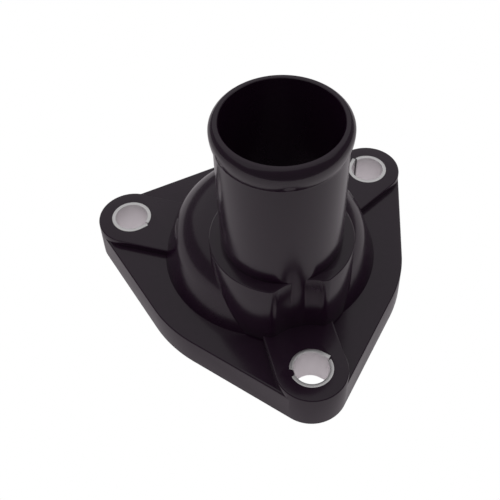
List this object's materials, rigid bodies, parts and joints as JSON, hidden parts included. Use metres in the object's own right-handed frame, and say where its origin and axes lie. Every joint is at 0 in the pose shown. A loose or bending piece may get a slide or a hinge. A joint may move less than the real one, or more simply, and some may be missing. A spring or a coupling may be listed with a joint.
{
  "type": "coolant outlet flange",
  "caption": "Moulded coolant outlet: a three-cornered bolted flange with a low dome and a long beaded hose neck, for taking coolant from an engine to a hose.",
  "frame": {"origin": "centre of the bolt circle on the mating face", "axes": "+Z out of the mating face along the neck, -Y towards the front bolt, the one nearest the neck"},
  "size_m": [0.089, 0.0863, 0.068],
  "materials": {
    "black_plastic": "semi-gloss",
    "sleeve_steel": "satin",
    "seal_rubber": "matte"
  },
  "bodies": {
    "root": {"flange_body": "black_plastic", "sleeve_front": "sleeve_steel", "sleeve_right": "sleeve_steel", "sleeve_left": "sleeve_steel", "seal_ring": "seal_rubber"}
  },
  "joints": []
}
